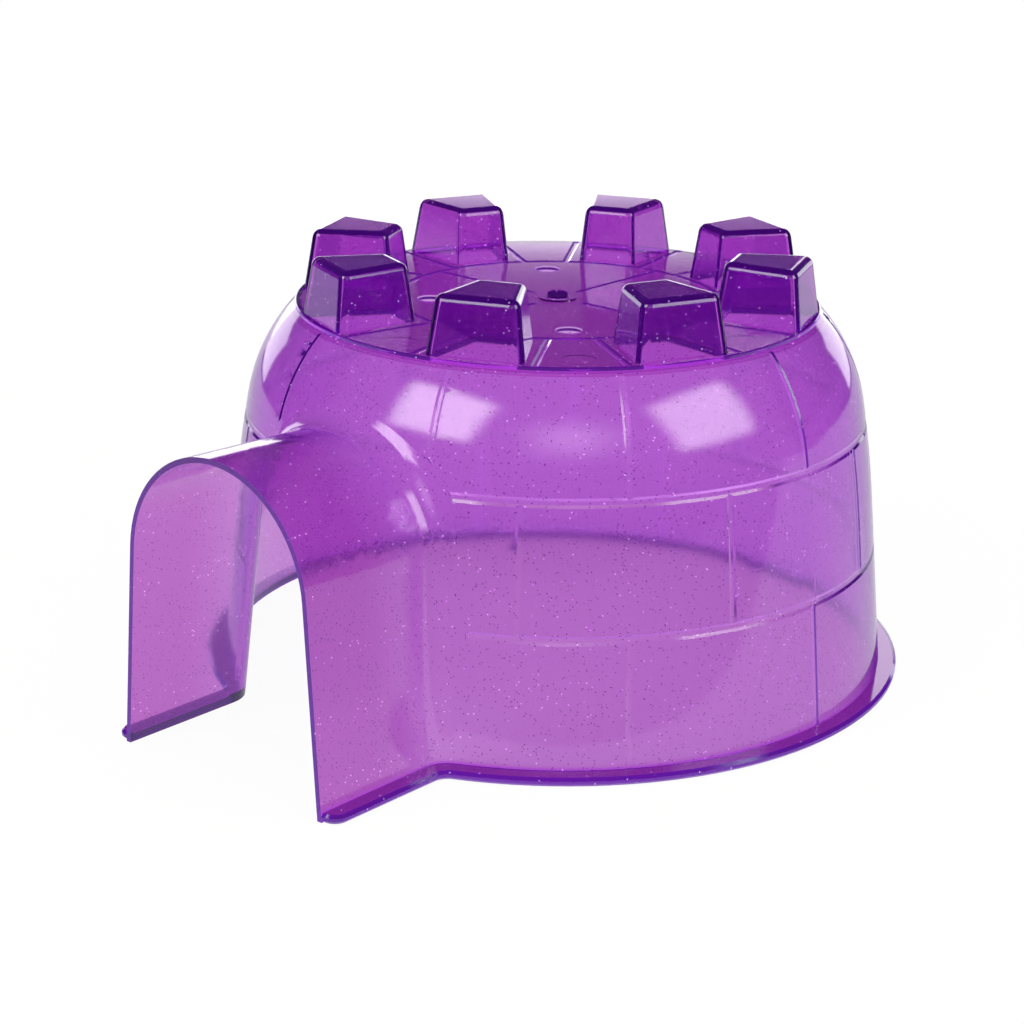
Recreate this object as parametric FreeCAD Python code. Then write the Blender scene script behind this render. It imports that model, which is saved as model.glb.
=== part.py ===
import FreeCAD, Part
import math
import os

# A castle-topped rodent igloo, injection-moulded in one piece from clear tinted plastic.
# The floor is z = 0 and the tunnel's mouth faces -Y. The shell is built with the dome's axis on Z
# and then moved along Y, so that the origin is under the middle of the whole igloo.
# Sizes are in mm and angles in degrees. Angles round the dome's axis start at the tunnel.

# Moulded wall
wall = 1.8

# Dome: a straight drafted wall, a long flank curve, a tight shoulder and a flat top. A lean is the angle
# of the surface's normal above the level.
dome_radius = 115.0
wall_draft = 5.5
flank_radius = 360.0
flank_lean = 10.8
shoulder_radius = 57.5
rim_lean = 45.2
rim_height = 124.0
disc_step = 1.2
disc_edge_chamfer = 0.4

# Tunnel: an arch with drafted legs, whose roof falls a little towards the dome
mouth_distance = 157.5
mouth_half_width = 44.1
mouth_below_rim = 20.2
leg_draft = 4.4
roof_fall = 1.9
blend_radius = 10.0

# Foot flange, turned outwards round the whole foot
flange_overhang = 5.8
flange_thickness = 3.0
flange_corner = 5.5
flange_inner_corner = 4.2
flange_edge_chamfer = 1.0

# Merlons: hollow drafted wedges, widest at the rim
merlon_count = 8
merlon_height = 19.2
merlon_outer = 86.6
merlon_inner = 56.5
merlon_half_width = 16.9
merlon_taper = 13.0
merlon_face_draft = 7.2
merlon_side_draft = 6.0
merlon_round = 3.0
core_corner = 1.2

# Joint lines: shallow grooves with sloped sides. The rings are a little deeper and wider.
joint_width = 2.6
joint_depth = 0.3
ring_joint_width = 3.2
ring_joint_depth = 0.36
joint_side_slope = 20.0

# Block pattern of the dome: two ring joints and upright joints in three courses
top_course_height = 36.8
middle_course_height = 42.8
first_joint_angle = 34.4
crown_joint_angle = 18.3
blocks_to_back = 4
joint_into_blend = 1.8
joint_rim_gap = 0.8

# Top disc: ring joint, joints beside the merlons, spokes, vents and pin marks
disc_ring_radius = 54.4
panel_joint_offset = 7.6
panel_joint_lean = 12.1
spoke_start = 10.5
vent_distance = 43.0
vent_diameter = 8.8
pin_mark_distance = 77.8
pin_mark_diameter = 11.2
pin_mark_depth = 0.3

# Gate mark: a round boss with the stub where the runner was broken off
gate_boss_diameter = 13.0
gate_boss_height = 0.6
gate_stub_diameter = 8.4
gate_stub_top_diameter = 6.8
gate_stub_height = 2.2
gate_break_height = 1.6
gate_break_tilt = 9.0

# How far large and small tools reach past what they cut, and the distance that counts as none
reach = 6.0
short_reach = 1.0
near = 0.01

mouth_height = rim_height - mouth_below_rim
upper_ring_height = rim_height - top_course_height
lower_ring_height = upper_ring_height - middle_course_height
disc_top = rim_height + disc_step
ceiling = disc_top - wall
merlon_top = disc_top + merlon_height
merlon_pitch = 360.0 / merlon_count
ORIGIN = FreeCAD.Vector(0, 0, 0)
RIGHT = FreeCAD.Vector(1, 0, 0)
INWARD = FreeCAD.Vector(0, 1, 0)
UP = FreeCAD.Vector(0, 0, 1)


def sin(angle):
    return math.sin(math.radians(angle))


def cos(angle):
    return math.cos(math.radians(angle))


def tan(angle):
    return math.tan(math.radians(angle))


def turned(shape, angle):
    """A copy of shape turned round the dome's axis."""
    copy = shape.copy()
    copy.rotate(ORIGIN, UP, angle)
    return copy


def in_section(centre, distance, lean):
    """The point of the dome's half-section at a distance from a centre, along a surface normal that leans up."""
    return FreeCAD.Vector(centre.x + distance * cos(lean), 0, centre.z + distance * sin(lean))


def arc_rise(radius, lean_a, lean_b):
    """Height between two leans on an arc of the half-section."""
    return radius * (sin(lean_b) - sin(lean_a))


def straight_top():
    """Height where the straight wall ends, under the flank and the shoulder."""
    curves = arc_rise(flank_radius, wall_draft, flank_lean) + arc_rise(shoulder_radius, flank_lean, rim_lean)
    return rim_height - curves


def on_straight_wall(height):
    """The point of the dome's straight wall at a height."""
    return FreeCAD.Vector(dome_radius - height * tan(wall_draft), 0, height)


def flank_centre():
    """Centre of the flank arc, which is tangent to the straight wall."""
    return in_section(on_straight_wall(straight_top()), -flank_radius, wall_draft)


def shoulder_centre():
    """Centre of the shoulder arc, which is tangent to the flank arc."""
    return in_section(flank_centre(), flank_radius - shoulder_radius, flank_lean)


def arc_lean(centre, radius, height):
    """Lean of the surface normal where an arc of the half-section reaches a height."""
    share = (height - centre.z) / radius
    return math.degrees(math.asin(max(-1.0, min(1.0, share))))


def arc_edge(centre, radius, lean_a, lean_b):
    """An arc of the half-section between two leans."""
    middle = (lean_a + lean_b) / 2
    ends = [in_section(centre, radius, lean) for lean in (lean_a, middle, lean_b)]
    return Part.Arc(*ends).toShape()


def dome_body(inset, top, cap=0.0):
    """The space inside the dome's surface set in by inset, up to a flat top, with a round cap on it."""
    flank, shoulder = flank_centre(), shoulder_centre()
    end_lean = arc_lean(shoulder, shoulder_radius - inset, top)
    foot = on_straight_wall(-reach) - RIGHT * (inset / cos(wall_draft))
    wall_top = in_section(flank, flank_radius - inset, wall_draft)
    rim = in_section(shoulder, shoulder_radius - inset, end_lean)
    rim_up = rim + UP * cap
    section = [
        Part.makeLine(UP * -reach, foot),
        Part.makeLine(foot, wall_top),
        arc_edge(flank, flank_radius - inset, wall_draft, flank_lean),
        arc_edge(shoulder, shoulder_radius - inset, flank_lean, end_lean),
    ]
    if cap > 0:
        section.append(Part.makeLine(rim, rim_up))
    section.append(Part.makeLine(rim_up, UP * rim_up.z))
    section.append(Part.makeLine(UP * rim_up.z, UP * -reach))
    return Part.Face(Part.Wire(section)).revolve(ORIGIN, UP, 360)


def arch_block(inset, front, back):
    """The space under the tunnel's arch set in by inset, between two distances from the dome's axis."""
    half = mouth_half_width - inset / cos(leg_draft)
    height = mouth_height - inset
    centre_z = (height - half * cos(leg_draft)) / (1 - sin(leg_draft))
    radius = height - centre_z
    half_below = half + reach * tan(leg_draft)
    spring_x = radius * cos(leg_draft)
    spring_z = centre_z + radius * sin(leg_draft)
    rise = (front - mouth_distance) * tan(roof_fall)

    def at(x, z):
        return FreeCAD.Vector(x, -front, z + rise)

    outline = Part.Wire([
        Part.makeLine(at(half_below, -reach), at(spring_x, spring_z)),
        Part.Arc(at(spring_x, spring_z), at(0, height), at(-spring_x, spring_z)).toShape(),
        Part.makeLine(at(-spring_x, spring_z), at(-half_below, -reach)),
        Part.makeLine(at(-half_below, -reach), at(half_below, -reach)),
    ])
    depth = front - back
    return Part.Face(outline).extrude(FreeCAD.Vector(0, depth, -depth * tan(roof_fall)))


def shared_edges(shape, first, second):
    """Edges of shape above the floor that lie on the surfaces of both solids."""
    found = []
    for edge in shape.Edges:
        middle = Part.Vertex(edge.valueAt((edge.FirstParameter + edge.LastParameter) / 2))
        on_both = all(solid.Shells[0].distToShape(middle)[0] < near for solid in (first, second))
        if on_both and edge.BoundBox.ZMax > 0:
            found.append(edge)
    return found


def blended(dome, tunnel, radius):
    """The dome and the tunnel fused, with a fillet of the given radius where they meet."""
    body = dome.fuse(tunnel)
    return body.makeFillet(radius, shared_edges(body, dome, tunnel))


def upright_edges(plate, front, back):
    """The upright edges of a plate that lie between two places along Y."""
    upright = [e for e in plate.Edges if e.BoundBox.XLength < near and e.BoundBox.YLength < near]
    return [e for e in upright if front < e.CenterOfMass.y < back]


def flange_plate():
    """The foot flange as a plate under the whole igloo, with rounded corners and chamfered edges."""
    edge = mouth_half_width + flange_overhang
    mouth = -mouth_distance
    plate = Part.makeCylinder(dome_radius + flange_overhang, flange_thickness)
    tongue = Part.makeBox(2 * edge, mouth_distance, flange_thickness, FreeCAD.Vector(-edge, mouth, 0))
    plate = plate.fuse(tongue).removeSplitter()
    plate = plate.makeFillet(flange_corner, upright_edges(plate, mouth - near, mouth + near))
    plate = plate.makeFillet(flange_inner_corner, upright_edges(plate, mouth + flange_corner + near, -near))
    level = [e for e in plate.Edges if e.BoundBox.ZLength < near]
    sides = [e for e in level if e.BoundBox.YMax > mouth + near]
    return plate.makeChamfer(flange_edge_chamfer, sides)


def flat_sided_block(low, high):
    """A solid with flat sides between a low and a high outline of as many corners."""
    rings = [low[::-1], high]
    for i in range(len(low)):
        after = (i + 1) % len(low)
        rings.append([low[i], low[after], high[after], high[i]])
    faces = [Part.Face(Part.makePolygon(ring + ring[:1])) for ring in rings]
    return Part.Solid(Part.Shell(faces))


def merlon_outline(inset, z):
    """The four corners of a merlon set in by inset, at a height, with the merlon on the tunnel's centre line."""
    rise = z - disc_top
    face_shift = inset / cos(merlon_face_draft) + rise * tan(merlon_face_draft)
    side_shift = (inset / cos(merlon_side_draft) + rise * tan(merlon_side_draft)) / cos(merlon_taper)
    outer, inner = merlon_outer - face_shift, merlon_inner + face_shift

    def half_at(distance):
        return merlon_half_width - (merlon_outer - distance) * tan(merlon_taper) - side_shift

    corners = [(half_at(outer), outer), (half_at(inner), inner), (-half_at(inner), inner), (-half_at(outer), outer)]
    return [FreeCAD.Vector(x, -distance, z) for x, distance in corners]


def merlon():
    """One merlon with its upright and top edges rounded, from halfway down the disc's wall up."""
    bottom = disc_top - wall / 2
    block = flat_sided_block(merlon_outline(0, bottom), merlon_outline(0, merlon_top))
    edges = [e for e in block.Edges if e.BoundBox.ZMax > bottom + near]
    return block.makeFillet(merlon_round, edges)


def merlon_core():
    """The hollow of one merlon, open into the dome."""
    block = flat_sided_block(merlon_outline(wall, ceiling - short_reach), merlon_outline(wall, merlon_top - wall))
    upright = [e for e in block.Edges if e.BoundBox.ZLength > near]
    return block.makeFillet(core_corner, upright)


def round_the_rim(shape, shift):
    """Copies of a shape round the rim, one for each merlon, turned by a share of the merlons' pitch."""
    return [turned(shape, merlon_pitch * (i + shift)) for i in range(merlon_count)]


def groove_section(place, out, across, width, depth):
    """The section of a joint line at a point of the surface: a flat floor between sloped sides."""
    run = 1 / tan(joint_side_slope)
    low, high = place - out * depth, place + out * depth
    floor_side, open_side = across * (width / 2 - depth * run), across * (width / 2 + depth * run)
    corners = [low - floor_side, low + floor_side, high + open_side, high - open_side]
    return Part.Face(Part.makePolygon(corners + corners[:1]))


def level_slab(bottom, top):
    """All the space between two heights."""
    side = 4 * dome_radius
    return Part.makeBox(side, side, top - bottom, FreeCAD.Vector(-side / 2, -side / 2, bottom))


def straight_groove(bottom, top):
    """Tool for the stretch of an upright joint on the straight wall between two heights."""
    start, end = on_straight_wall(bottom - short_reach), on_straight_wall(top + short_reach)
    section = groove_section(start, in_section(ORIGIN, 1, wall_draft), INWARD, joint_width, joint_depth)
    return section.extrude(end - start).common(level_slab(bottom, top))


def arc_groove(centre, radius, bottom, top):
    """Tool for the stretch of an upright joint on an arc of the half-section between two heights."""
    past = math.degrees(short_reach / radius)
    start, end = arc_lean(centre, radius, bottom) - past, arc_lean(centre, radius, top) + past
    place, out = in_section(centre, radius, start), in_section(ORIGIN, 1, start)
    section = groove_section(place, out, INWARD, joint_width, joint_depth)
    return section.revolve(centre, -INWARD, end - start).common(level_slab(bottom, top))


def upright_joint(bottom, top):
    """Tools for one upright joint between two heights of the dome's half-section."""
    flank, shoulder = flank_centre(), shoulder_centre()
    wall_end = straight_top()
    flank_end = wall_end + arc_rise(flank_radius, wall_draft, flank_lean)
    tools = []
    if bottom < wall_end:
        tools.append(straight_groove(bottom, min(top, wall_end)))
    if bottom < flank_end and top > wall_end:
        tools.append(arc_groove(flank, flank_radius, max(bottom, wall_end), min(top, flank_end)))
    if top > flank_end:
        tools.append(arc_groove(shoulder, shoulder_radius, max(bottom, flank_end), top))
    return tools


def ring_joint(height):
    """Tool for a ring joint of the dome at a height."""
    centre, radius = flank_centre(), flank_radius
    lean = arc_lean(centre, radius, height)
    if lean > flank_lean:
        centre, radius = shoulder_centre(), shoulder_radius
        lean = arc_lean(centre, radius, height)
    place = in_section(centre, radius, lean)
    if height < straight_top():
        place, lean = on_straight_wall(height), wall_draft
    out, along = in_section(ORIGIN, 1, lean), in_section(ORIGIN, 1, lean + 90)
    return groove_section(place, out, along, ring_joint_width, ring_joint_depth).revolve(ORIGIN, UP, 360)


def joint_angles():
    """Angles of the upright joints from the first one to the back, half a block apart."""
    half_block = (180.0 - first_joint_angle) / (2 * blocks_to_back)
    return [first_joint_angle + half_block * i for i in range(2 * blocks_to_back + 1)]


def mirrored(angles):
    """The angles on both sides of the tunnel, with the one at the back only once."""
    return angles + [-angle for angle in angles if abs(angle - 180) > near]


def dome_joints():
    """The joint lines to cut into the dome, clear of the tunnel and the rim: the rings, then course by course."""
    angles = joint_angles()
    odd, even = angles[1::2], angles[0::2]
    courses = [
        (0, lower_ring_height, odd),
        (lower_ring_height, upper_ring_height, even),
        (upper_ring_height, rim_height - joint_rim_gap, [crown_joint_angle] + odd),
    ]
    rounds = [[ring_joint(lower_ring_height), ring_joint(upper_ring_height)]]
    for bottom, top, course_angles in courses:
        joint = upright_joint(bottom, top)
        rounds.append([turned(tool, angle - 90) for tool in joint for angle in mirrored(course_angles)])
    clear_of = arch_block(joint_into_blend - blend_radius, mouth_distance + reach, 0)
    kept = [[tool.cut(clear_of) for tool in tools] for tools in rounds]
    return [[tool for tool in tools if tool.Solids] for tools in kept]


def disc_joints():
    """The joint lines to cut into the top disc: a ring, lines beside the merlons' sides, and four spokes."""
    shoulder = shoulder_centre()
    rim = in_section(shoulder, shoulder_radius, arc_lean(shoulder, shoulder_radius, rim_height))

    def strip(start, end):
        section = groove_section(FreeCAD.Vector(0, -start, disc_top), UP, RIGHT, joint_width, joint_depth)
        return section.extrude(INWARD * (start - end))

    ring_place = FreeCAD.Vector(disc_ring_radius, 0, disc_top)
    tools = [groove_section(ring_place, UP, RIGHT, joint_width, joint_depth).revolve(ORIGIN, UP, 360)]
    within_rim = Part.makeCylinder(rim.x - joint_rim_gap, 2 * short_reach, UP * (disc_top - short_reach))
    for side in (1, -1):
        line = strip(disc_ring_radius, 2 * dome_radius)
        line.rotate(INWARD * -disc_ring_radius, UP, side * panel_joint_lean)
        line.translate(RIGHT * side * panel_joint_offset)
        tools += round_the_rim(line.common(within_rim), 0)
    tools += [turned(strip(spoke_start, disc_ring_radius), angle) for angle in (0, 90, 180, 270)]
    return tools


def on_disc(diameter, distance, bottom, height):
    """A round post or hole tool on the tunnel's centre line, at a distance from the axis."""
    return Part.makeCylinder(diameter / 2, height, FreeCAD.Vector(0, -distance, bottom))


def vents():
    """Tools for the four vent holes, which lie between the spokes."""
    hole = on_disc(vent_diameter, vent_distance, ceiling - short_reach, wall + 2 * short_reach)
    return [turned(hole, 45 + 90 * i) for i in range(4)]


def pin_marks():
    """Shallow round marks in the ceiling, one under each crenel."""
    mark = on_disc(pin_mark_diameter, pin_mark_distance, ceiling - short_reach, short_reach + pin_mark_depth)
    return round_the_rim(mark, 0)


def gate_mark():
    """The round boss at the centre of the disc with the broken stub of the gate on it."""
    foot = UP * ceiling
    boss = Part.makeCylinder(gate_boss_diameter / 2, wall + gate_boss_height, foot)
    stub = Part.makeCone(gate_stub_diameter / 2, gate_stub_top_diameter / 2, wall + gate_stub_height, foot)
    side = 2 * gate_boss_diameter
    above = Part.makeBox(side, side, side, FreeCAD.Vector(-side / 2, -side / 2, 0))
    above.rotate(ORIGIN, FreeCAD.Vector(1, 1, 0), gate_break_tilt)
    above.translate(UP * (disc_top + gate_break_height))
    return boss.fuse(stub.cut(above))


def outer_form():
    """The whole outside as a full solid: dome, tunnel, joints, flange, merlons and gate mark."""
    dome = dome_body(0, rim_height, disc_step)
    rim_edges = [e for e in dome.Edges if e.BoundBox.ZMin > disc_top - near]
    dome = dome.makeChamfer(disc_edge_chamfer, rim_edges)
    form = blended(dome, arch_block(0, mouth_distance, dome_radius / 2), blend_radius)
    for tools in dome_joints() + [disc_joints()]:
        form = form.cut(tools)
    form = form.fuse(flange_plate())
    form = form.multiFuse(round_the_rim(merlon(), 0.5))
    return form.fuse(gate_mark())


def inner_form():
    """The whole inside as a full solid: dome and tunnel at the wall's depth, with a wider blend."""
    tunnel = arch_block(wall, mouth_distance + reach, dome_radius / 2)
    return blended(dome_body(wall, ceiling), tunnel, blend_radius + wall)


def igloo_shell():
    """The whole moulding, with the origin under the middle of its length."""
    below_floor = Part.makeBox(4 * dome_radius, 4 * dome_radius, 2 * reach,
                               FreeCAD.Vector(-2 * dome_radius, -2 * dome_radius, -2 * reach))
    shell = outer_form().cut(inner_form())
    shell = shell.cut(round_the_rim(merlon_core(), 0.5))
    shell = shell.cut([below_floor] + vents() + pin_marks())
    back = dome_radius + flange_overhang
    shell.translate(INWARD * ((mouth_distance - back) / 2))
    return shell


os.makedirs("parts", exist_ok=True)
shell = igloo_shell()
shell.exportStep("parts/igloo_shell.step")
print("solids", len(shell.Solids), "valid", shell.isValid(), "faces", len(shell.Faces))
print("volume in cm3", round(shell.Volume / 1000, 1))
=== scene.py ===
import logging
import math
from dataclasses import dataclass, field
from enum import Enum
from typing import Any

import bpy
from mathutils import Matrix, Vector

LOG = logging.getLogger("rodent_igloo")
MM = 0.001
WHITE = (1.0, 1.0, 1.0, 1.0)
X, Y, Z = 0, 1, 2

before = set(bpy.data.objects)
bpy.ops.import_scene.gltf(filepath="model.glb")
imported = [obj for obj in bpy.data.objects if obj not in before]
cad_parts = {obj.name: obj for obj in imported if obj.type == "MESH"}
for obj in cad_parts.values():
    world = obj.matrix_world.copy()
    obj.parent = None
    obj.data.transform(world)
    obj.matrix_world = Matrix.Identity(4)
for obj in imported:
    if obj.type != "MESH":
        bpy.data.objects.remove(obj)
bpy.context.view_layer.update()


class Ray(Enum):
    """The kinds of ray that the studio tells apart."""

    CAMERA = "Is Camera Ray"
    GLOSSY = "Is Glossy Ray"
    THROUGH = "Is Transmission Ray"


def linear(hex_colour: str) -> tuple[float, float, float, float]:
    """Turn an sRGB hex colour into a linear one.

    Args:
        hex_colour: Six hex digits after a hash sign.

    Returns:
        Red, green, blue and an alpha of 1.
    """
    parts = [int(hex_colour[i:i + 2], 16) / 255 for i in (1, 3, 5)]
    bright = [c / 12.92 if c <= 0.04045 else ((c + 0.055) / 1.055) ** 2.4 for c in parts]
    return (bright[0], bright[1], bright[2], 1.0)


def add_node(tree: bpy.types.NodeTree, kind: str, settings: dict[str, Any] | None = None,
             inputs: dict[str | int, Any] | None = None) -> bpy.types.Node:
    """Add a node with its settings, and its inputs as values or links.

    Args:
        tree: The node tree that gets the node.
        kind: The node's Blender type.
        settings: Attributes of the node by name.
        inputs: A value or an output socket for each input, by name or number.

    Returns:
        The new node.
    """
    node = tree.nodes.new(kind)
    for name, value in (settings or {}).items():
        setattr(node, name, value)
    for name, value in (inputs or {}).items():
        if isinstance(value, bpy.types.NodeSocket):
            tree.links.new(value, node.inputs[name])
        else:
            node.inputs[name].default_value = value
    return node


def empty_material(name: str) -> bpy.types.Material:
    """Make a material with a bare node tree.

    Args:
        name: The material's name.

    Returns:
        The material.
    """
    material = bpy.data.materials.new(name)
    material.use_nodes = True
    material.node_tree.nodes.clear()
    return material


def maths(tree: bpy.types.NodeTree, operation: str, first: Any, second: Any) -> bpy.types.NodeSocket:
    """Add one step of arithmetic.

    Args:
        tree: The node tree that gets the node.
        operation: Blender's name of the operation.
        first: A number or an output socket.
        second: A number or an output socket.

    Returns:
        The result's socket.
    """
    return add_node(tree, "ShaderNodeMath", {"operation": operation}, {0: first, 1: second}).outputs[0]


def blend(tree: bpy.types.NodeTree, share: Any, first: Any, second: Any) -> bpy.types.NodeSocket:
    """Blend two numbers.

    Args:
        tree: The node tree that gets the node.
        share: The second number's share.
        first: A number or an output socket.
        second: A number or an output socket.

    Returns:
        The result's socket.
    """
    return add_node(tree, "ShaderNodeMix", {"data_type": "FLOAT"}, {0: share, 2: first, 3: second}).outputs[0]


def blend_colours(tree: bpy.types.NodeTree, share: Any, first: Any, second: Any) -> bpy.types.NodeSocket:
    """Blend two colours.

    Args:
        tree: The node tree that gets the node.
        share: The second colour's share.
        first: A colour or an output socket.
        second: A colour or an output socket.

    Returns:
        The result's socket.
    """
    return add_node(tree, "ShaderNodeMix", {"data_type": "RGBA"}, {0: share, 6: first, 7: second}).outputs[2]


def by_ray(tree: bpy.types.NodeTree, values: dict[Ray, Any], otherwise: float) -> bpy.types.NodeSocket:
    """Add a number that depends on the kind of ray.

    Args:
        tree: The node tree that gets the nodes.
        values: The number or output socket for each kind of ray that has one of its own.
        otherwise: The number for all other rays.

    Returns:
        The number's socket.
    """
    path = add_node(tree, "ShaderNodeLightPath")
    result: Any = otherwise
    for ray, value in values.items():
        result = blend(tree, path.outputs[ray.value], result, value)
    return result


@dataclass(frozen=True)
class Flecks:
    """Glitter moulded into the plastic: specks that look dark, apart from a share that get a painted glint, as
    if they faced a lamp.

    Real flecks are 0.3 to 0.4 mm across. They are drawn at about 0.5 mm, so that they show at all.
    """

    spacing_mm: float = 1.6
    radius_mm: float = 0.26
    solid_share: float = 0.6
    painted_glint_share: float = 0.16

    def factors(self, tree: bpy.types.NodeTree,
                place: bpy.types.NodeSocket) -> tuple[bpy.types.NodeSocket, bpy.types.NodeSocket]:
        """Add a factor that is 1 on the dark specks, and one that is 1 on the bright ones, which get a painted
        glint.

        Args:
            tree: The material's node tree.
            place: The position in the object, in metres.

        Returns:
            The two factors' sockets.
        """
        cells = add_node(tree, "ShaderNodeTexVoronoi", {"feature": "F1"},
                         {"Vector": place, "Scale": 1 / (self.spacing_mm * MM), "Randomness": 1.0})
        edge = self.radius_mm / self.spacing_mm
        speck = add_node(tree, "ShaderNodeMapRange", {"interpolation_type": "LINEAR"},
                         {"Value": cells.outputs["Distance"], "From Min": edge,
                          "From Max": edge * self.solid_share, "To Min": 0.0, "To Max": 1.0}).outputs[0]
        chance = add_node(tree, "ShaderNodeSeparateColor", None, {0: cells.outputs["Color"]}).outputs[0]
        # The bright specks get a painted glint.
        bright = maths(tree, "MULTIPLY", speck, maths(tree, "LESS_THAN", chance, self.painted_glint_share))
        return maths(tree, "SUBTRACT", speck, bright), bright


@dataclass(frozen=True)
class TintedClearPolystyrene:
    """Injection-moulded clear polystyrene in a purple tint with fine glitter, from a polished mould.

    The polished mould gives sharp, glossy reflections. The tint deepens with the thickness of plastic
    that light crosses, so edges and overlapping walls turn dark, though never black, because a faint
    painted glow all over stands in for the light the glitter scatters. The glitter also shows as tiny
    dark specks, and as bright specks that are painted glints. A painted violet glow stands in for the
    light the wall pipes to its bare edges, at the mouth, round the foot and at the disc's step and
    joints. The vents' rims and the far sides of the dome's upright joints get painted highlights, and
    the disc, the merlons, the tunnel and the foot a deeper tint that is painted shade. Places and
    heights are in metres in the frame.
    """

    # The plastic itself: its tint at the surface and in depth, its polish, its glitter, and a painted haze
    # glow and painted glints.
    surface_tint: str = "#FBF5FD"
    deep_tint: str = "#E39BEF"
    depth_per_mm: float = 0.58
    ior: float = 1.59
    roughness: float = 0.09
    painted_haze_glow: str = "#200234"
    flecks: Flecks = Flecks()
    dark_fleck_tint: str = "#5E2278"
    painted_glint_colour: str = "#E3C6EE"

    # Deeper tints by place, which are painted shade.
    crown_painted_shade: str = "#E6C1E9"
    crown_height: float = 0.1256
    disc_painted_shade: str = "#DD9CDA"
    disc_height: float = 0.1225
    tunnel_painted_shade: str = "#EABFE8"
    tunnel_from: float = -0.085
    tunnel_to: float = -0.12
    foot_painted_shade: str = "#D8A0DC"
    foot_height: float = 0.0031

    # Bare edges with a painted violet glow: the mouth, the foot's rim, and the disc's step and joints.
    edge_painted_glow: str = "#50157A"
    mouth_plane: float = -0.139
    step_band: tuple[float, float] = (0.1238, 0.12515)
    dome_centre: tuple[float, float, float] = (0.0, 0.0184, 0.0)
    upright_limit: float = 0.9
    slanted_limit: float = 0.985

    # A painted highlight on the dome's upright joints, on the sides that turn away from the lamps.
    joint_painted_highlight: str = "#5C2C80"
    joint_slant: float = 0.2
    joint_left: float = -0.075
    joint_back: float = 0.015
    joint_top: float = 0.12

    # A painted highlight on the two rims of each vent, above and below its dark middle.
    vent_painted_highlight: str = "#B98AC9"
    vent_place: float = 0.0304
    vent_radius: float = 0.0046
    vent_middle: float = 0.12425
    vent_dark_half: float = 0.00045

    def painted_glow_edges(self, tree: bpy.types.NodeTree) -> bpy.types.NodeSocket:
        """Add a factor that is 1 where the painted glow goes: the mouth's edge, the foot's rim and the disc's
        step and joints.

        Args:
            tree: The material's node tree.

        Returns:
            The factor's socket.
        """
        surface = add_node(tree, "ShaderNodeNewGeometry")
        place = add_node(tree, "ShaderNodeSeparateXYZ", None, {0: surface.outputs["Position"]})
        facing = add_node(tree, "ShaderNodeSeparateXYZ", None, {0: surface.outputs["True Normal"]})
        from_centre = add_node(tree, "ShaderNodeVectorMath", {"operation": "SUBTRACT"},
                               {0: surface.outputs["Position"], 1: self.dome_centre})
        outward = add_node(tree, "ShaderNodeVectorMath", {"operation": "DOT_PRODUCT"},
                           {0: from_centre.outputs[0], 1: surface.outputs["True Normal"]})
        low = maths(tree, "LESS_THAN", place.outputs[Z], self.foot_height)
        level = maths(tree, "ABSOLUTE", facing.outputs[Z], 0.0)
        upright = maths(tree, "LESS_THAN", level, self.upright_limit)
        outside = maths(tree, "GREATER_THAN", outward.outputs["Value"], 0.0)
        foot = maths(tree, "MULTIPLY", maths(tree, "MULTIPLY", low, upright), outside)
        above = maths(tree, "GREATER_THAN", place.outputs[Z], self.step_band[0])
        below = maths(tree, "LESS_THAN", place.outputs[Z], self.step_band[1])
        slanted = maths(tree, "LESS_THAN", level, self.slanted_limit)
        step = maths(tree, "MULTIPLY", maths(tree, "MULTIPLY", above, below), slanted)
        mouth = maths(tree, "LESS_THAN", place.outputs[Y], self.mouth_plane)
        return maths(tree, "MAXIMUM", maths(tree, "MAXIMUM", foot, step), mouth)

    def painted_vent_rims(self, tree: bpy.types.NodeTree) -> bpy.types.NodeSocket:
        """Add a factor that is 1 on the two rims of each of the disc's four vents, where a highlight is
        painted.

        Args:
            tree: The material's node tree.

        Returns:
            The factor's socket.
        """
        surface = add_node(tree, "ShaderNodeNewGeometry")
        facing = add_node(tree, "ShaderNodeSeparateXYZ", None, {0: surface.outputs["True Normal"]})
        from_centre = add_node(tree, "ShaderNodeVectorMath", {"operation": "SUBTRACT"},
                               {0: surface.outputs["Position"], 1: self.dome_centre})
        quarter = add_node(tree, "ShaderNodeVectorMath", {"operation": "ABSOLUTE"},
                           {0: from_centre.outputs[0]})
        from_vent = add_node(tree, "ShaderNodeVectorMath", {"operation": "SUBTRACT"},
                             {0: quarter.outputs[0], 1: (self.vent_place, self.vent_place, 0.0)})
        flat = add_node(tree, "ShaderNodeVectorMath", {"operation": "MULTIPLY"},
                        {0: from_vent.outputs[0], 1: (1.0, 1.0, 0.0)})
        away = add_node(tree, "ShaderNodeVectorMath", {"operation": "LENGTH"}, {0: flat.outputs[0]})
        near = maths(tree, "LESS_THAN", away.outputs["Value"], self.vent_radius)
        height = add_node(tree, "ShaderNodeSeparateXYZ", None, {0: surface.outputs["Position"]}).outputs[Z]
        off_middle = maths(tree, "ABSOLUTE", maths(tree, "SUBTRACT", height, self.vent_middle), 0.0)
        rim = maths(tree, "GREATER_THAN", off_middle, self.vent_dark_half)
        level = maths(tree, "ABSOLUTE", facing.outputs[Z], 0.0)
        upright = maths(tree, "LESS_THAN", level, self.upright_limit)
        return maths(tree, "MULTIPLY", maths(tree, "MULTIPLY", near, rim), upright)

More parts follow.
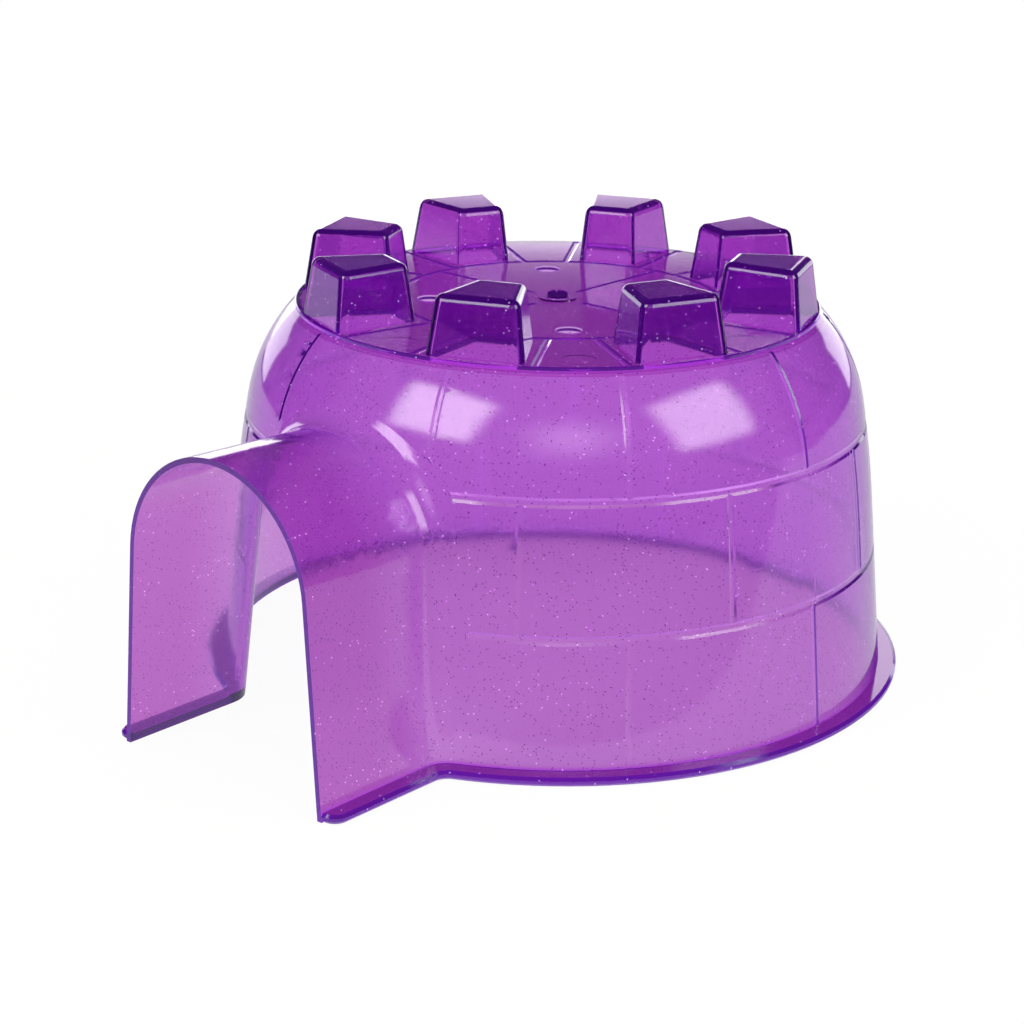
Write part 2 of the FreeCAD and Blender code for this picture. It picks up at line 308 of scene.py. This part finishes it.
    def painted_joint_sides(self, tree: bpy.types.NodeTree) -> bpy.types.NodeSocket:
        """Add a factor that is 1 on the sides of the dome's upright joints away from the lamps, where a
        highlight is painted.

        Args:
            tree: The material's node tree.

        Returns:
            The factor's socket.
        """
        surface = add_node(tree, "ShaderNodeNewGeometry")
        place = add_node(tree, "ShaderNodeSeparateXYZ", None, {0: surface.outputs["Position"]})
        from_centre = add_node(tree, "ShaderNodeVectorMath", {"operation": "SUBTRACT"},
                               {0: surface.outputs["Position"], 1: self.dome_centre})
        around = add_node(tree, "ShaderNodeVectorMath", {"operation": "CROSS_PRODUCT"},
                          {0: (0.0, 0.0, 1.0), 1: from_centre.outputs[0]})
        along = add_node(tree, "ShaderNodeVectorMath", {"operation": "NORMALIZE"}, {0: around.outputs[0]})
        slant = add_node(tree, "ShaderNodeVectorMath", {"operation": "DOT_PRODUCT"},
                         {0: along.outputs[0], 1: surface.outputs["True Normal"]})
        either_way = maths(tree, "ABSOLUTE", slant.outputs["Value"], 0.0)
        sideways = maths(tree, "GREATER_THAN", either_way, self.joint_slant)
        to_left = maths(tree, "LESS_THAN", place.outputs[X], self.joint_left)
        to_back = maths(tree, "GREATER_THAN", place.outputs[Y], self.joint_back)
        off_lamps = maths(tree, "MAXIMUM", to_back, to_left)
        off_crown = maths(tree, "LESS_THAN", place.outputs[Z], self.joint_top)
        return maths(tree, "MULTIPLY", sideways, maths(tree, "MULTIPLY", off_lamps, off_crown))

    def tint_and_painted_shade(self, tree: bpy.types.NodeTree) -> bpy.types.NodeSocket:
        """Add the faces' own tint, with painted shade that deepens it on the disc, the merlons, the tunnel and
        the foot.

        Args:
            tree: The material's node tree.

        Returns:
            The colour's socket.
        """
        place = add_node(tree, "ShaderNodeSeparateXYZ", None,
                         {0: add_node(tree, "ShaderNodeNewGeometry").outputs["Position"]})
        # Painted shade: a deeper tint in the tunnel, on the disc, on the merlons and at the foot.
        in_tunnel = add_node(tree, "ShaderNodeMapRange", {"interpolation_type": "SMOOTHSTEP"}, {
            "Value": place.outputs[Y], "From Min": self.tunnel_from, "From Max": self.tunnel_to})
        tint = blend_colours(tree, in_tunnel.outputs[0], linear(self.surface_tint), linear(self.tunnel_painted_shade))
        for level, colour in ((self.disc_height, self.disc_painted_shade), (self.crown_height, self.crown_painted_shade)):
            above = maths(tree, "GREATER_THAN", place.outputs[Z], level)
            tint = blend_colours(tree, above, tint, linear(colour))
        at_foot = maths(tree, "LESS_THAN", place.outputs[Z], self.foot_height)
        return blend_colours(tree, at_foot, tint, linear(self.foot_painted_shade))

    def material(self) -> bpy.types.Material:
        """Build the material.

        Returns:
            The material.
        """
        material = empty_material("tinted_clear_polystyrene_polished_mould")
        tree = material.node_tree
        place = add_node(tree, "ShaderNodeTexCoord").outputs["Object"]
        dark, bright = self.flecks.factors(tree, place)
        # The faces' tint with its painted shade, and the dark specks.
        colour = blend_colours(tree, dark, self.tint_and_painted_shade(tree), linear(self.dark_fleck_tint))
        # A faint painted glow all over the plastic, with a painted highlight on the joints' far sides.
        painted_haze_and_joint_glow = blend_colours(tree, self.painted_joint_sides(tree),
                                   linear(self.painted_haze_glow), linear(self.joint_painted_highlight))
        # A painted violet glow on the bare edges.
        painted_haze_joint_and_edge_glow = blend_colours(tree, self.painted_glow_edges(tree), painted_haze_and_joint_glow, linear(self.edge_painted_glow))
        # Painted highlights on the vents' rims.
        with_painted_vent_rims = blend_colours(tree, self.painted_vent_rims(tree), painted_haze_joint_and_edge_glow, linear(self.vent_painted_highlight))
        # Painted glints on the bright specks.
        glow = blend_colours(tree, bright, with_painted_vent_rims, linear(self.painted_glint_colour))
        surface = add_node(tree, "ShaderNodeBsdfPrincipled", None, {
            "Base Color": colour,
            "Roughness": self.roughness,
            "IOR": self.ior,
            "Transmission Weight": 1.0,
            "Emission Color": glow,
            "Emission Strength": 1.0,
        })
        inside = add_node(tree, "ShaderNodeVolumeAbsorption", None,
                          {"Color": linear(self.deep_tint), "Density": self.depth_per_mm / MM})
        add_node(tree, "ShaderNodeOutputMaterial", None,
                 {"Surface": surface.outputs[0], "Volume": inside.outputs[0]})
        return material


@dataclass(frozen=True)
class WhitePaper:
    """Matte white photographic paper, evenly lit, which keeps a faint shadow of what stands on it.

    The plastic mirrors it as bright as its lighting leaves it on that side of the igloo. Wherever it is
    seen through the plastic, its glow has a painted purple tint, which stands in for the purple light
    that comes through the shell.
    """

    name: str
    mirrored: float
    seen_evenness: float = 0.95
    through_evenness: float = 0.7
    through_painted_light: str = "#F2B8F2"
    colour: str = "#F6F6F6"

    def material(self) -> bpy.types.Material:
        """Build the material.

        Returns:
            The material.
        """
        material = empty_material(self.name)
        tree = material.node_tree
        paper = add_node(tree, "ShaderNodeBsdfDiffuse", None, {"Color": linear(self.colour)})
        strength = by_ray(tree, {Ray.GLOSSY: self.mirrored}, otherwise=1.0)
        through = add_node(tree, "ShaderNodeLightPath").outputs[Ray.THROUGH.value]
        # Painted light: seen through the plastic, the paper's glow is tinted purple.
        tint = blend_colours(tree, through, WHITE, linear(self.through_painted_light))
        glow = add_node(tree, "ShaderNodeEmission", None, {"Color": tint, "Strength": strength})
        share = by_ray(tree, {Ray.CAMERA: self.seen_evenness, Ray.GLOSSY: 1.0,
                              Ray.THROUGH: self.through_evenness}, otherwise=0.0)
        both = add_node(tree, "ShaderNodeMixShader", None, {0: share, 1: paper.outputs[0], 2: glow.outputs[0]})
        add_node(tree, "ShaderNodeOutputMaterial", None, {"Surface": both.outputs[0]})
        return material


@dataclass
class IglooShell:
    """The moulded shell, which the frame brings at its true shape."""

    node: str = "igloo_shell"
    finish: TintedClearPolystyrene = field(default_factory=TintedClearPolystyrene)

    def dress(self) -> None:
        """Give the shell its moulded plastic."""
        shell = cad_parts[self.node]
        material = self.finish.material()
        for slot in shell.material_slots:
            slot.material = material
        LOG.info("%s: %d faces in %s", self.node, len(shell.data.polygons), material.name)


@dataclass
class Softbox:
    """A large studio lamp that faces the igloo, whose cloth is dimmer towards its edges.

    Angles are in degrees and lengths in metres. The soft edge is a share of the cloth.
    """

    name: str
    azimuth: float
    elevation: float
    width: float
    height: float
    radiance: float
    soft_edge: float
    distance: float = 1.3
    colour: str = "#FFFFFF"
    only_mirrored: bool = False
    aim: tuple[float, float, float] = (0.0, 0.018, 0.1)

    def fade_edges(self, lamp: bpy.types.AreaLight) -> None:
        """Dim the cloth towards its four edges.

        Args:
            lamp: The lamp's data.
        """
        lamp.use_nodes = True
        tree = lamp.node_tree
        tree.nodes.clear()
        place = add_node(tree, "ShaderNodeNewGeometry").outputs["Parametric"]
        parts = add_node(tree, "ShaderNodeSeparateXYZ", None, {0: place})
        middle = 0.5
        level: Any = 1.0
        for axis in (X, Y):
            from_middle = maths(tree, "ABSOLUTE", maths(tree, "SUBTRACT", parts.outputs[axis], middle), 0.0)
            side = add_node(tree, "ShaderNodeMapRange", {"interpolation_type": "SMOOTHSTEP"},
                            {"Value": from_middle, "From Min": middle, "From Max": middle - self.soft_edge / 2,
                             "To Min": 0.0, "To Max": 1.0})
            level = maths(tree, "MULTIPLY", level, side.outputs[0])
        cloth = add_node(tree, "ShaderNodeEmission", None, {"Color": linear(self.colour), "Strength": level})
        add_node(tree, "ShaderNodeOutputLight", None, {"Surface": cloth.outputs[0]})

    def place(self) -> None:
        """Put the lamp in the scene."""
        lamp = bpy.data.lights.new(self.name, "AREA")
        lamp.shape = "RECTANGLE"
        lamp.size, lamp.size_y = self.width, self.height
        lamp.energy = self.radiance * math.pi * self.width * self.height
        self.fade_edges(lamp)
        holder = bpy.data.objects.new(self.name, lamp)
        bpy.context.scene.collection.objects.link(holder)
        turn, rise = math.radians(self.azimuth), math.radians(self.elevation)
        away = Vector((math.sin(turn) * math.cos(rise), -math.cos(turn) * math.cos(rise), math.sin(rise)))
        holder.location = Vector(self.aim) + away * self.distance
        holder.rotation_euler = away.to_track_quat("Z", "Y").to_euler()
        if self.only_mirrored:
            holder.visible_camera = holder.visible_transmission = False
        LOG.info("%s: %.2f by %.2f m", self.name, self.width, self.height)


@dataclass
class Studio:
    """The white paper, the dim room round it, the lamps and the camera.

    The room is white where it is looked at, also through the plastic up to a little above the level.
    The plastic mirrors it as dim, and the camera's side of it stays dim in every reflection.
    """

    # The camera, as it was fitted to the photo.
    camera_place: tuple[float, float, float] = (0.5291, -0.6150, 0.3282)
    camera_azimuth: float = 40.87
    camera_elevation: float = 18.72
    camera_roll: float = 0.84
    lens_mm: float = 88.13
    sensor_mm: float = 36.0
    clip_near: float = 0.01
    clip_far: float = 50.0

    # The floor and the backdrop, in metres along and across the camera's level view.
    floor_drop: float = 0.0003
    floor_front: float = 0.6
    floor_seam: float = 0.15
    floor_half_width: float = 1.6
    backdrop_distance: float = 0.95
    backdrop_height: float = 0.319
    backdrop_half_width: float = 0.5

    # The room's brightness by kind of ray, the heights in degrees between which it darkens, and the
    # range between the camera's dim side and the side behind the igloo.
    room_light: float = 0.72
    room_gloss: float = 0.02
    room_high: float = 0.15
    white_below: float = 1.0
    dim_above: float = 7.0
    dim_side: tuple[float, float] = (-0.3, 0.1)

    lamps: tuple[Softbox, ...] = (
        Softbox("softbox_left", azimuth=-8, elevation=35, width=0.90, height=0.74, radiance=5.8,
                soft_edge=0.4, colour="#EEFFE0"),
        Softbox("softbox_right", azimuth=101, elevation=30, width=0.90, height=0.84, radiance=4.6,
                soft_edge=0.4, colour="#EEFFE0"),
        Softbox("front_cloth", azimuth=46, elevation=28, width=1.1, height=0.8, radiance=1.7, soft_edge=1.0),
        Softbox("strip_behind", azimuth=220.87, elevation=4.0, width=1.8, height=0.30, radiance=2.0,
                distance=0.93, soft_edge=0.06, only_mirrored=True),
        Softbox("strip_right", azimuth=211.6, elevation=21.4, width=0.13, height=0.15, radiance=2.4,
                distance=1.09, soft_edge=0.3, only_mirrored=True, aim=(0.0913, 0.0974, 0.0)),
    )

    def in_view_frame(self, to_side: float, to_back: float, height: float) -> tuple[float, float, float]:
        """Find a place measured along and across the camera's level view.

        Args:
            to_side: Metres to the right of the origin.
            to_back: Metres behind the origin.
            height: Metres above the floor.

        Returns:
            The place in the frame.
        """
        turn = math.radians(self.camera_azimuth)
        side, back = (math.cos(turn), math.sin(turn)), (-math.sin(turn), math.cos(turn))
        return (side[0] * to_side + back[0] * to_back, side[1] * to_side + back[1] * to_back, height)

    def sheet(self, name: str, corners: list[tuple[float, float, float]], paper: WhitePaper) -> None:
        """Make one flat sheet of the studio.

        Args:
            name: The sheet's name.
            corners: Its corners in order, as metres to the side, to the back and up.
            paper: Its finish.
        """
        mesh = bpy.data.meshes.new(name)
        mesh.from_pydata([self.in_view_frame(*corner) for corner in corners], [], [tuple(range(len(corners)))])
        mesh.materials.append(paper.material())
        sheet = bpy.data.objects.new(name, mesh)
        bpy.context.scene.collection.objects.link(sheet)

    def lay_paper(self) -> None:
        """Lay the floor and stand the backdrop behind it."""
        half, front, back = self.floor_half_width, -self.floor_front, self.backdrop_distance
        wide = self.backdrop_half_width
        low, high, seam = -self.floor_drop, self.backdrop_height, -self.floor_seam
        self.sheet("studio_floor_front",
                   [(-half, front, low), (half, front, low), (half, seam, low), (-half, seam, low)],
                   WhitePaper("white_paper_front", mirrored=0.15))
        self.sheet("studio_floor",
                   [(-half, seam, low), (half, seam, low), (half, back, low), (-half, back, low)],
                   WhitePaper("white_paper_floor", mirrored=0.75))
        self.sheet("studio_backdrop",
                   [(-wide, back, low), (wide, back, low), (wide, back, high), (-wide, back, high)],
                   WhitePaper("white_paper_backdrop", mirrored=1.1, seen_evenness=1.0, through_evenness=1.0,
                              through_painted_light="#FFFFFF"))

    def light_room(self) -> None:
        """Make the room: white where it is looked at, dim where the plastic mirrors it."""
        world = bpy.data.worlds.new("studio_room")
        bpy.context.scene.world = world
        world.use_nodes = True
        world.cycles.sampling_method = "NONE"
        tree = world.node_tree
        tree.nodes.clear()
        direction = add_node(tree, "ShaderNodeTexCoord").outputs["Generated"]
        rise = add_node(tree, "ShaderNodeSeparateXYZ", None, {0: direction}).outputs[Z]
        behind = add_node(tree, "ShaderNodeMapRange", {"interpolation_type": "SMOOTHSTEP"}, {
            "Value": rise,
            "From Min": math.sin(math.radians(self.white_below)),
            "From Max": math.sin(math.radians(self.dim_above)),
            "To Min": 1.0, "To Max": self.room_high,
        })
        turn = math.radians(self.camera_azimuth)
        ahead = add_node(tree, "ShaderNodeVectorMath", {"operation": "DOT_PRODUCT"},
                         {0: direction, 1: (-math.sin(turn), math.cos(turn), 0)})
        away = add_node(tree, "ShaderNodeMapRange", {"interpolation_type": "SMOOTHSTEP"},
                        {"Value": ahead.outputs["Value"], "From Min": self.dim_side[0],
                         "From Max": self.dim_side[1]})
        through = blend(tree, away.outputs[0], self.room_gloss, behind.outputs[0])
        sight = by_ray(tree, {Ray.GLOSSY: self.room_gloss, Ray.THROUGH: through}, otherwise=1.0)
        bounces = add_node(tree, "ShaderNodeLightPath").outputs["Diffuse Depth"]
        half_a_bounce = 0.5
        from_paper = maths(tree, "GREATER_THAN", bounces, half_a_bounce)
        strength = blend(tree, from_paper, sight, self.room_light)
        light = add_node(tree, "ShaderNodeBackground", None, {"Color": WHITE, "Strength": strength})
        add_node(tree, "ShaderNodeOutputWorld", None, {"Surface": light.outputs[0]})

    def set_camera(self) -> None:
        """Stand the camera where the photo was taken from."""
        data = bpy.data.cameras.new("camera")
        data.sensor_width, data.lens = self.sensor_mm, self.lens_mm
        data.clip_start, data.clip_end = self.clip_near, self.clip_far
        camera = bpy.data.objects.new("camera", data)
        bpy.context.scene.collection.objects.link(camera)
        angles = (self.camera_azimuth, self.camera_elevation, self.camera_roll)
        turn, rise, roll = (math.radians(angle) for angle in angles)
        back = Vector((math.sin(turn) * math.cos(rise), -math.cos(turn) * math.cos(rise), math.sin(rise)))
        level = Vector((math.cos(turn), math.sin(turn), 0))
        upward = back.cross(level)
        right = level * math.cos(roll) + upward * math.sin(roll)
        up = upward * math.cos(roll) - level * math.sin(roll)
        facing = Matrix((right, up, back)).transposed().to_4x4()
        camera.matrix_world = Matrix.Translation(self.camera_place) @ facing
        bpy.context.scene.camera = camera

    def build(self) -> None:
        """Build the whole studio."""
        self.lay_paper()
        self.light_room()
        for lamp in self.lamps:
            lamp.place()
        self.set_camera()


def set_light_paths() -> None:
    """Let rays cross every wall: a sight line meets up to five of them, with two faces each.

    Five lamps are too few for a light tree to pay.
    """
    cycles = bpy.context.scene.cycles
    cycles.max_bounces = 10
    cycles.transmission_bounces = 10
    cycles.glossy_bounces = 8
    cycles.diffuse_bounces = 2
    cycles.sample_clamp_indirect = 4.0
    cycles.use_light_tree = False


def main() -> None:
    """Build the studio and the igloo."""
    logging.basicConfig(level=logging.INFO, format="%(message)s")
    bpy.context.scene.view_settings.view_transform = "Standard"
    Studio().build()
    IglooShell().dress()
    set_light_paths()


if __name__ == "__main__":
    main()
